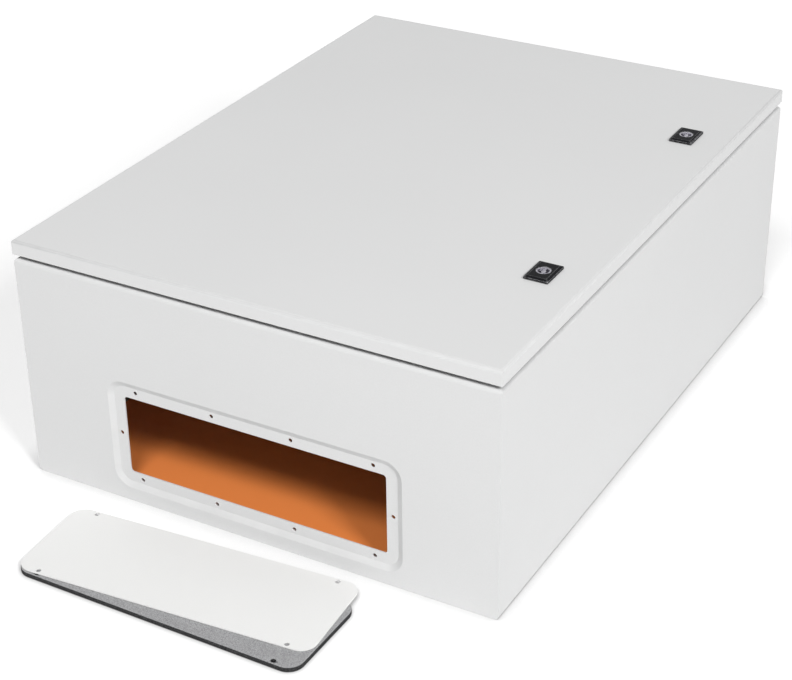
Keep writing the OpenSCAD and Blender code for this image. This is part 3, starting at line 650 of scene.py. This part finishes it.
def chamfered_nut(mesh, af, hole, height, move):
    """A hexagon nut, or with no hole a screw head, with its corners turned down at both ends."""
    sixth = math.pi / 3
    chamfer_r = af / 2 * NUT_CHAMFER
    inner_r = hole / 2 if hole else af * HEAD_MIDDLE
    lead = NUT_LEAD * hole

    def round_ring(r, z):
        return circle(move, r, z, NUT_AROUND, math.pi / 6)

    def hexagon(z, inwards):
        points = []
        for k in range(NUT_AROUND):
            a = 2 * math.pi * k / NUT_AROUND + math.pi / 6
            r = af / 2 / math.cos(a % sixth - math.pi / 6)
            drop = max(0.0, r - chamfer_r) * NUT_SLOPE
            points.append(move @ Vector((r * math.cos(a), r * math.sin(a), z + inwards * drop)))
        return points

    rings = [
        round_ring(inner_r + lead, height), round_ring(chamfer_r, height), hexagon(height, -1),
        hexagon(0.0, 1), round_ring(chamfer_r, 0.0), round_ring(inner_r + lead, 0.0),
    ]
    if hole:
        rings += [round_ring(inner_r, lead), round_ring(inner_r, height - lead)]
        add_strip(mesh, rings, closed=True)
    else:
        add_capped_strip(mesh, rings)


def make_studs(node, axis, d, pitch, body, material):
    mesh = bmesh.new()
    for low, high in solids_of(node):
        threaded_stud(mesh, d, pitch, length_along(axis, low, high), along(axis, low, high))
    piece = add_piece(node + "_threaded", mesh, material, body, (node,))
    keep_crisp(piece, THREAD_CRISP_DEGREES)


def make_nuts(node, axis, af, hole, body, material):
    mesh = bmesh.new()
    for low, high in solids_of(node):
        chamfered_nut(mesh, af, hole, length_along(axis, low, high), along(axis, low, high))
    piece = add_piece(node + "_chamfered", mesh, material, body, (node,))
    keep_crisp(piece, NUT_CRISP_DEGREES)


def make_lock_fasteners(materials):
    """The nut behind the door and the screw that holds the cam, for each lock."""
    for lock in ("upper_lock", "lower_lock"):
        make_nuts(lock + "_nut", "+Z", LOCK_NUT_AF, LOCK_NUT_HOLE, "door", materials["zinc"])
        screw = lock + "_cam_screw"
        low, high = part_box(screw)
        foot = Matrix.Translation(((low.x + high.x) / 2, (low.y + high.y) / 2, low.z))
        length = high.z - low.z
        mesh = bmesh.new()
        chamfered_nut(mesh, SCREW_AF, 0.0, SCREW_HEAD, foot)
        shank = [(1, SCREW_HEAD), (1, length - SCREW_TIP), (SCREW_TIP_SHARE, length)]
        add_capped_strip(mesh, [
            circle(foot, share * SCREW_D / 2, z, SCREW_AROUND) for share, z in shank
        ])
        piece = add_piece(screw + "_chamfered", mesh, materials["steel"], lock, (screw,))
        keep_crisp(piece, NUT_CRISP_DEGREES)


def rounded_loop(half_w, half_h, r, arc, run):
    """Points round a rectangle with round corners, with the outward direction at each."""
    points = []
    corners = [(1, 1, 0), (-1, 1, 90), (-1, -1, 180), (1, -1, 270)]
    for n, (sx, sy, start) in enumerate(corners):
        centre = Vector((sx * (half_w - r), sy * (half_h - r)))
        for k in range(arc + 1):
            a = math.radians(start + 90 * k / arc)
            out = Vector((math.cos(a), math.sin(a)))
            points.append((centre + out * r, out))
        after = corners[(n + 1) % 4]
        goal = Vector((after[0] * (half_w - r), after[1] * (half_h - r))) + out * r
        first = points[-1][0]
        for k in range(1, run):
            points.append((first.lerp(goal, k / run), out))
    return points


def make_door_gasket(material):
    """The poured foam bead: flat on the door, with a crown towards the rain lip and a slightly
    uneven width."""
    low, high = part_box("door_gasket")
    centre = (low + high) / 2
    half_w = (high.x - low.x) / 2 - BEAD_W / 2
    half_h = (high.y - low.y) / 2 - BEAD_W / 2
    height = high.z - low.z
    rings = []
    for place, out in rounded_loop(half_w, half_h, BEAD_CORNER_R - BEAD_W / 2, BEAD_ARC, BEAD_RUN):
        sway = BEAD_SWAY * noise.noise(Vector((
            place.x * BEAD_SWAY_SCALE, place.y * BEAD_SWAY_SCALE, BEAD_SWAY_LAYER)))
        ring = []
        for k in range(BEAD_STEPS + 1):
            a = math.pi * k / BEAD_STEPS
            side = math.copysign(abs(math.cos(a)) ** BEAD_SIDE_POWER, math.cos(a))
            spot = place + out * (side * BEAD_W / 2 * (BEAD_WIDE + sway))
            crown = math.sin(a) ** BEAD_CROWN_POWER * height * (BEAD_HIGH + sway * BEAD_SWAY_UP)
            ring.append(Vector((centre.x + spot.x, centre.y + spot.y, high.z - crown)))
        rings.append(ring)
    mesh = bmesh.new()
    add_strip(mesh, rings, closed=True)
    piece = add_piece("door_gasket_bead", mesh, material, "door", ("door_gasket",))


def make_sponge(material):
    """The gland gasket: a cut sheet of sponge with soft edges and a slightly uneven top."""
    low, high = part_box("gland_gasket")
    centre = (low + high) / 2
    height = high.z - low.z
    r = SPONGE_EDGE_R
    half_w, half_h = SPONGE_W / 2, SPONGE_L / 2
    turn = Matrix.Rotation(SPONGE_TURN, 4, "Z")
    profile = [(inset * r, up * r) for inset, up in SPONGE_EDGE]
    profile += [(inset * r, height - down * r) for inset, down in reversed(SPONGE_EDGE)]
    profile += [(inset * r, height - down * r) for inset, down in SPONGE_SHOULDER]
    profile += [(inset, height) for inset in SPONGE_INSETS]
    rings = []
    for inset, z in profile:
        corner = max(SPONGE_LEAST_R, SPONGE_CORNER_R - inset)
        loop = rounded_loop(half_w - inset, half_h - inset, corner, SPONGE_ARC, SPONGE_RUN)
        ring = []
        for place, _ in loop:
            spot = turn @ Vector((place.x, place.y, z))
            wave = noise.noise(Vector((
                spot.x * SPONGE_WAVE_SCALE, spot.y * SPONGE_WAVE_SCALE, SPONGE_WAVE_LAYER)))
            on_top = z >= height - SPONGE_WAVE_FROM * r
            lift = wave * SPONGE_WAVE - SPONGE_WAVE if on_top else 0.0
            ring.append(Vector((centre.x + spot.x, centre.y + spot.y, low.z + spot.z + lift)))
        rings.append(ring)
    mesh = bmesh.new()
    add_capped_strip(mesh, rings)
    piece = add_piece(
        "gland_gasket_sponge", mesh, material, "gland_gasket_loose",
        ("gland_gasket",))
    middle = Vector((centre.x, centre.y, 0))
    cut_round_holes(piece, [
        middle + turn @ Vector((i * GLAND_HOLE_X, j * GLAND_HOLE_Y, 0))
        for i in (-1, 1) for j in (-1, 1)
    ], GLAND_HOLE_D)


def cut_round_holes(piece, centres, d):
    """Cuts upright holes through a piece and keeps the result as its mesh."""
    mesh = bmesh.new()
    for centre in centres:
        bmesh.ops.create_cone(
            mesh, cap_ends=True, segments=CUTTER_AROUND, radius1=d / 2, radius2=d / 2,
            depth=CUTTER_LENGTH, matrix=Matrix.Translation(centre))
    data = bpy.data.meshes.new("hole_cutter")
    mesh.to_mesh(data)
    mesh.free()
    cutter = bpy.data.objects.new("hole_cutter", data)
    bpy.context.scene.collection.objects.link(cutter)
    cut = piece.modifiers.new("holes", "BOOLEAN")
    cut.operation = "DIFFERENCE"
    cut.solver = "EXACT"
    cut.object = cutter
    bpy.context.view_layer.update()
    shown = piece.evaluated_get(bpy.context.evaluated_depsgraph_get())
    result = bpy.data.meshes.new_from_object(shown)
    piece.modifiers.clear()
    piece.data = result
    bpy.data.objects.remove(cutter)


def build():
    bpy.context.scene.view_settings.view_transform = "Standard"
    make_camera()
    make_world()
    make_floor()
    make_lamp("key", *KEY_LAMP)
    make_lamp("front", *FRONT_LAMP)
    materials = make_materials()
    for part in frame["record"]["subparts"]:
        edge = DOOR_EDGE_ROUND if part["node"] == "door_panel" else EDGE_ROUND
        finish_node(NODES[part["node"]], materials[part["material_slot"]], edge)
    steel, zinc = materials["steel"], materials["zinc"]
    make_studs("plate_studs", "+Z", STUD_D, STUD_PITCH, "root", steel)
    make_studs("body_earth_stud", "+X", EARTH_D, EARTH_PITCH, "root", steel)
    make_studs("door_earth_stud", "-Z", EARTH_D, EARTH_PITCH, "door", steel)
    clearance = 2 * STUD_CLEARANCE
    make_nuts("plate_nuts", "+Z", PLATE_NUT_AF, STUD_D + clearance, "root", zinc)
    make_nuts("body_earth_nuts", "+X", EARTH_NUT_AF, EARTH_D + clearance, "root", zinc)
    make_nuts("door_earth_nuts", "-Z", EARTH_NUT_AF, EARTH_D + clearance, "door", zinc)
    make_lock_fasteners(materials)
    make_door_gasket(materials["poured_foam"])
    make_sponge(materials["gland_foam"])


build()
